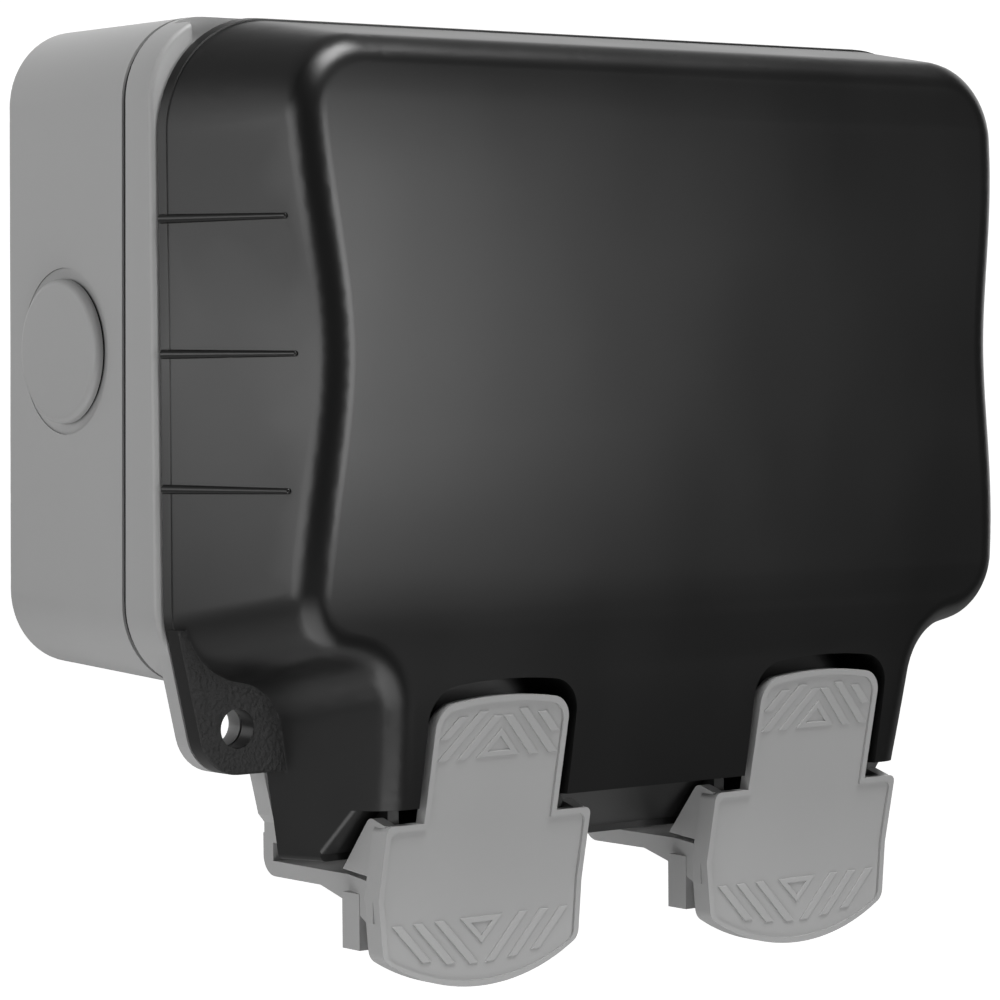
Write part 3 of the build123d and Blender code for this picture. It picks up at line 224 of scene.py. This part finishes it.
def lid_moulding():
    """Satin black moulding, with a matt and coarser grain on the padlock lug's flat front."""
    finish, shader, place = new_finish("lid_black_plastic")
    tree = finish.node_tree
    grain = pattern(finish, place, 0.42, 3.0, 0.6)
    flow = flow_marks(finish, place)
    tint(finish, shader, flow, LID_BLACK, 0.1)
    lug = lug_front(finish, place)
    coarse = tree.nodes.new("ShaderNodeMath")
    coarse.operation = "MULTIPLY"
    tree.links.new(lug, coarse.inputs[0])
    tree.links.new(pattern(finish, place, LUG_GRAIN_MM), coarse.inputs[1])
    relief(finish, shader, [
        (flow, FLOW_DEPTH_MM), (grain, 0.006), (coarse.outputs["Value"], LUG_GRAIN_DEPTH_MM),
    ])
    gloss = tree.nodes.new("ShaderNodeMix")
    gloss.inputs["B"].default_value = LUG_ROUGHNESS
    tree.links.new(lug, gloss.inputs["Factor"])
    tree.links.new(spread(finish, flow, 0.31, 0.35), gloss.inputs["A"])
    tree.links.new(gloss.outputs["Result"], shader.inputs["Roughness"])
    return finish


def sheet_metal(name, colour, roughness):
    """Rolled or drawn metal with fine lines along X."""
    finish, shader, place = new_finish(name)
    lines = pattern(finish, place, 0.5, 2.0, 0.6, (0.04, 1, 1))
    blotch = pattern(finish, place, 5.0)
    tint(finish, shader, blotch, colour, 0.08)
    gloss = spread(finish, lines, roughness - 0.06, roughness + 0.08)
    finish.node_tree.links.new(gloss, shader.inputs["Roughness"])
    relief(finish, shader, [(lines, 0.004)])
    shader.inputs["Metallic"].default_value = 1.0
    return finish


def foam_rubber(name, colour):
    """Matt cellular rubber of the seals."""
    finish, shader, place = new_finish(name)
    cells = pattern(finish, place, 0.7, 4.0, 0.7)
    tint(finish, shader, cells, colour, 0.25)
    finish.node_tree.links.new(spread(finish, cells, 0.72, 0.9), shader.inputs["Roughness"])
    relief(finish, shader, [(cells, 0.06)])
    shader.inputs["Specular IOR Level"].default_value = 0.3
    return finish


GREY = (0.335, 0.335, 0.335)
finishes = {
    "grey_moulding": moulding("box_grey_plastic", GREY, 0.42, 0.45, 0.006),
    "plug_grey": moulding("plug_grey_plastic", (0.33, 0.33, 0.33), 0.42, 0.45, 0.006),
    "latch_grey": moulding("latch_grey_plastic", GREY, 0.40, 0.35, 0.004),
    "black_moulding": lid_moulding(),
    "seal_rubber": foam_rubber("seal_black_rubber", (0.016, 0.016, 0.016)),
    "plate_grey": moulding("plate_grey_plastic", (0.42, 0.42, 0.42), 0.38, 0.4, 0.004),
    "rocker_white": moulding("rocker_white_plastic", (0.62, 0.62, 0.61), 0.28, 0.3, 0.002),
    "shutter_white": moulding("shutter_white_plastic", (0.55, 0.55, 0.54), 0.45, 0.3, 0.002),
    "cover_black": moulding("cover_black_plastic", (0.02, 0.02, 0.02), 0.5, 0.5, 0.008),
    "brass": sheet_metal("contact_brass", (0.68, 0.48, 0.2), 0.3),
    "steel": sheet_metal("plated_steel", (0.55, 0.55, 0.56), 0.3),
}


def wear(piece, finish):
    piece.data.materials.clear()
    piece.data.materials.append(finish)


for node, part in nodes.items():
    wear(part, finishes[slot_of_node[node]])


# Smooth skins of the moulded and turned pieces

def smooth_skin(node, angle=20):
    """Copy of a CAD node that stands for it, merged into one skin with its curved faces smooth."""
    select_only(nodes[node])
    bpy.ops.object.duplicate()
    skin = bpy.context.active_object
    skin.name = node + "_skin"
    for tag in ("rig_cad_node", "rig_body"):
        del skin[tag]
    bpy.ops.mesh.customdata_custom_splitnormals_clear()
    edit(skin)
    bpy.ops.mesh.remove_doubles(threshold=2e-6)
    leave_edit()
    bpy.ops.object.shade_smooth_by_angle(angle=math.radians(angle))
    bpy.ops.object.modifier_add(type="WEIGHTED_NORMAL")
    skin.modifiers[-1].keep_sharp = True
    skin.modifiers[-1].mode = "CORNER_ANGLE"
    bpy.ops.object.modifier_apply(modifier=skin.modifiers[-1].name)
    wear(skin, finishes[slot_of_node[node]])
    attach(skin, body_of_node[node])
    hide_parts(node)
    return skin


for node in (
    "lid", "back_box", "frame", "latch_left", "latch_right",
    "entry_plug_left", "entry_plug_right", "socket_plate",
    "box_gasket", "lid_seal", "cable_seal", "frame_screws", "rocker_left", "rocker_right",
    "hinge_pin_left", "hinge_pin_right", "latch_pin_left", "latch_pin_right",
):
    smooth_skin(node)


# Shutter springs

def shortening_spring(side):
    """Smooth skin of a shutter spring, with a mesh of its own."""
    spring = smooth_skin(f"shutter_spring_{side}", angle=50)
    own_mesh(spring)


shortening_spring("left")
shortening_spring("right")


# Raised arrow marks on the latches: nested chevrons round a triangle, up on the tongue and down below

MARK_RISE = 0.00030
MARK_SINK = 0.00015
MARK_BEVEL = 0.00012
BAND_WIDTH = 0.0022
RING_WIDTH = 0.0011


def raise_mark():
    """Lifts the flat outline that is being edited into a low pad with softened upper edges."""
    bpy.ops.mesh.select_all(action="SELECT")
    lift = (0, -MARK_RISE - MARK_SINK, 0)
    bpy.ops.mesh.extrude_region_move(TRANSFORM_OT_translate={"value": lift})
    bpy.ops.mesh.bevel(offset=MARK_BEVEL, segments=2, affect="EDGES")
    bpy.ops.mesh.select_all(action="SELECT")
    bpy.ops.mesh.normals_make_consistent(inside=False)
    leave_edit()


def slanted_band(top, foot):
    """Band whose outer edge runs between two places on the latch, in millimetres across and down."""
    side = 1 if foot[0] < top[0] else -1
    height = (foot[1] - top[1]) / 1000
    middle = (top[0] / 1000 + side * BAND_WIDTH / 2, MARK_SINK, -(top[1] + foot[1]) / 2000)
    bpy.ops.object.select_all(action="DESELECT")
    bpy.ops.mesh.primitive_plane_add(size=1, location=middle, rotation=(math.radians(90), 0, 0))
    band = bpy.context.active_object
    band.scale = (BAND_WIDTH, abs(height), 1)
    bpy.ops.object.transform_apply(location=True, rotation=True, scale=True)
    edit(band)
    bpy.ops.mesh.select_all(action="DESELECT")
    leave_edit()
    for corner in band.data.vertices:
        corner.select = corner.co.z < middle[2]
    bpy.ops.object.mode_set(mode="EDIT")
    bpy.ops.transform.translate(value=((foot[0] - top[0]) / 1000, 0, 0))
    raise_mark()
    return band


def triangle_ring(tip, base, half_width):
    """Outlined triangle with its tip and base at places down the latch, in millimetres."""
    height = (base - tip) / 1000
    bpy.ops.object.select_all(action="DESELECT")
    upright = (math.radians(90), 0, 0)
    bpy.ops.mesh.primitive_circle_add(vertices=3, radius=1, fill_type="NGON", rotation=upright)
    ring = bpy.context.active_object
    bpy.ops.object.transform_apply(location=True, rotation=True, scale=True)
    low = min(corner.co.z for corner in ring.data.vertices)
    high = max(corner.co.z for corner in ring.data.vertices)
    wide = max(corner.co.x for corner in ring.data.vertices)
    tip_now = max(ring.data.vertices, key=lambda corner: abs(corner.co.z)).co.z
    grow = height / (high - low) * (1 if tip_now > 0 else -1)
    ring.scale = (half_width / 1000 / wide, 1, grow)
    ring.location = (0, MARK_SINK, -tip / 1000 - tip_now * grow)
    bpy.ops.object.transform_apply(location=True, rotation=True, scale=True)
    edit(ring)
    bpy.ops.mesh.inset(thickness=RING_WIDTH)
    bpy.ops.mesh.delete(type="FACE")
    raise_mark()
    return ring


def joined(pieces, name):
    bpy.ops.object.select_all(action="DESELECT")
    for piece in pieces:
        piece.select_set(True)
    bpy.context.view_layer.objects.active = pieces[0]
    bpy.ops.object.join()
    pieces[0].name = name
    return pieces[0]


HINGE_DEPTH = 51.4
HINGE_Z = 60.6
LID_LEAN = math.radians(1.25)


def leaned(depth, z):
    """Place on the leaning lid and latches, from its place on the upright ones, in millimetres."""
    ahead, above = depth - HINGE_DEPTH, z - HINGE_Z
    return Vector((
        0,
        -HINGE_DEPTH - ahead * math.cos(LID_LEAN) + above * math.sin(LID_LEAN),
        HINGE_Z + above * math.cos(LID_LEAN) + ahead * math.sin(LID_LEAN),
    )) / 1000


def lay_marks(marks, top, foot, latch_x):
    """Lays marks that were modelled on an upright plane onto the latch's face."""
    upward = top - foot
    marks.rotation_euler = (math.atan2(-upward.y, upward.z), 0, 0)
    marks.location = top + Vector((latch_x, 0, 0))
    select_only(marks)
    bpy.ops.object.transform_apply(location=True, rotation=True, scale=True)


LATCH_X = 0.0413
TONGUE_TOP = leaned(83.0, -66.0)
LATCH_MIDDLE = leaned(74.7, -104.5)
LATCH_FOOT = leaned(74.7, -123.2)
TRIANGLE_HALF_WIDTH = 5.2
OPEN_TRIANGLE = (6.6, 12.2)
CLOSE_TRIANGLE = (10.4, 5.2)
OPEN_BANDS = (((-10.7, 3.8), (-14.6, 8.0)), ((-5.9, 2.9), (-14.6, 12.3)), ((-2.3, 4.0), (-9.9, 12.3)))
CLOSE_BANDS = (((-9.2, 5.2), (-0.8, 14.2)), ((-14.4, 5.2), (-6.4, 13.8)), ((-19.4, 5.2), (-12.2, 12.9)))


def arrow(name, triangle, bands):
    """Triangle with bands on both sides of it, on an upright plane."""
    marks = [triangle_ring(*triangle, TRIANGLE_HALF_WIDTH)]
    for top, foot in bands:
        marks.append(slanted_band(top, foot))
        marks.append(slanted_band((-top[0], top[1]), (-foot[0], foot[1])))
    return joined(marks, name)


def arrow_marks(side, latch_x):
    upper = arrow(f"open_marks_{side}", OPEN_TRIANGLE, OPEN_BANDS)
    lay_marks(upper, TONGUE_TOP, LATCH_MIDDLE, latch_x)
    lower = arrow(f"close_marks_{side}", CLOSE_TRIANGLE, CLOSE_BANDS)
    lay_marks(lower, LATCH_MIDDLE, LATCH_FOOT, latch_x)
    for marks in (upper, lower):
        wear(marks, finishes["latch_grey"])
        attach(marks, f"latch_{side}")


arrow_marks("left", -LATCH_X)
arrow_marks("right", LATCH_X)


# Camera at the photograph's angle

CAMERA_PLACE = (-0.4995, -0.67093, 0.01638)
CAMERA_TURN, CAMERA_PITCH, CAMERA_ROLL = 37.968, 3.40, 0.291
LENS_MM = 139.85


def place_camera():
    turn = math.radians(CAMERA_TURN)
    pitch = math.radians(CAMERA_PITCH)
    roll = math.radians(CAMERA_ROLL)
    level_right = Vector((math.cos(turn), -math.sin(turn), 0))
    level_forward = Vector((math.sin(turn), math.cos(turn), 0))
    up = Vector((0, 0, 1))
    forward = level_forward * math.cos(pitch) - up * math.sin(pitch)
    upward = up * math.cos(pitch) + level_forward * math.sin(pitch)
    right = level_right * math.cos(roll) + upward * math.sin(roll)
    top = upward * math.cos(roll) - level_right * math.sin(roll)
    data = bpy.data.cameras.new("studio_camera")
    data.sensor_width = 36.0
    data.lens = LENS_MM
    data.clip_start = 0.01
    camera = bpy.data.objects.new("studio_camera", data)
    scene.collection.objects.link(camera)
    axes = Matrix((right, top, -forward)).transposed().to_4x4()
    camera.matrix_world = Matrix.Translation(CAMERA_PLACE) @ axes
    scene.camera = camera


place_camera()


# Floor, background and studio light

FLOOR_SIZE = 12
FLOOR_PLACE = (0, 5.6, -0.75)
FLOOR_WHITE = 0.95
SURROUND_FROM_FRONT = (-0.04, 0.27, 0.03, 1.1)
SURROUND_BY_HEIGHT = (0.32, 0.70, 1.0, 0.2)


def pale_floor():
    bpy.ops.object.select_all(action="DESELECT")
    bpy.ops.mesh.primitive_plane_add(size=FLOOR_SIZE, location=FLOOR_PLACE)
    floor = bpy.context.active_object
    floor.name = "pale_floor"
    bpy.ops.object.transform_apply(location=True, rotation=True, scale=True)
    finish = bpy.data.materials.new("pale_floor_paint")
    finish.use_nodes = True
    tree = finish.node_tree
    shader = tree.nodes["Principled BSDF"]
    shader.inputs["Base Color"].default_value = (0.55, 0.55, 0.55, 1)
    shader.inputs["Roughness"].default_value = 0.9
    shader.inputs["Specular IOR Level"].default_value = 0.0
    path = tree.nodes.new("ShaderNodeLightPath")
    shader.inputs["Emission Color"].default_value = (1, 1, 1, 1)
    boost = tree.nodes.new("ShaderNodeMath")
    boost.operation = "MULTIPLY"
    boost.inputs[1].default_value = FLOOR_WHITE
    tree.links.new(path.outputs["Is Camera Ray"], boost.inputs[0])
    tree.links.new(boost.outputs["Value"], shader.inputs["Emission Strength"])
    floor.data.materials.append(finish)


def smooth_step(tree, value, ends):
    """Goes smoothly from one level to another as value passes between two limits."""
    step = tree.nodes.new("ShaderNodeMapRange")
    step.interpolation_type = "SMOOTHSTEP"
    for socket, number in zip(("From Min", "From Max", "To Min", "To Max"), ends):
        step.inputs[socket].default_value = number
    tree.links.new(value, step.inputs["Value"])
    return step.outputs["Result"]


def studio_world():
    """White to the camera all round. To the object it is white behind and dim in front and overhead."""
    world = bpy.data.worlds.new("studio_world")
    scene.world = world
    world.use_nodes = True
    tree = world.node_tree
    back = tree.nodes["Background"]
    back.inputs["Color"].default_value = (1, 1, 1, 1)
    direction = tree.nodes.new("ShaderNodeTexCoord")
    parts = tree.nodes.new("ShaderNodeSeparateXYZ")
    tree.links.new(direction.outputs["Generated"], parts.inputs["Vector"])
    surround = tree.nodes.new("ShaderNodeMath")
    surround.operation = "MULTIPLY"
    tree.links.new(smooth_step(tree, parts.outputs["Y"], SURROUND_FROM_FRONT), surround.inputs[0])
    tree.links.new(smooth_step(tree, parts.outputs["Z"], SURROUND_BY_HEIGHT), surround.inputs[1])
    path = tree.nodes.new("ShaderNodeLightPath")
    level = tree.nodes.new("ShaderNodeMath")
    level.operation = "MAXIMUM"
    tree.links.new(path.outputs["Is Camera Ray"], level.inputs[0])
    tree.links.new(surround.outputs["Value"], level.inputs[1])
    tree.links.new(level.outputs["Value"], back.inputs["Strength"])


def softbox(name, place, aim, width, height, power):
    """Lamp panel of a width and height in metres and a power in watts."""
    data = bpy.data.lights.new(name, "AREA")
    data.shape = "RECTANGLE"
    data.size = width
    data.size_y = height
    data.energy = power
    lamp = bpy.data.objects.new(name, data)
    scene.collection.objects.link(lamp)
    lamp.location = place
    towards = Vector(aim) - Vector(place)
    lamp.rotation_euler = towards.to_track_quat("-Z", "Y").to_euler()


pale_floor()
studio_world()
softbox("left_softbox", (-1.24, -0.16, 0.06), (0, -0.04, 0), 0.62, 0.62, 4.3)
softbox("front_softbox", (0.47, -1.43, 0.08), (0, -0.05, 0), 0.48, 0.70, 8.7)
softbox("low_softbox", (-0.33, -0.36, -0.54), (-0.05, -0.06, -0.06), 0.6, 0.6, 2.4)
softbox("key_softbox", (0.25, -0.66, 1.5), (0, -0.05, -0.02), 1.0, 0.7, 30.0)
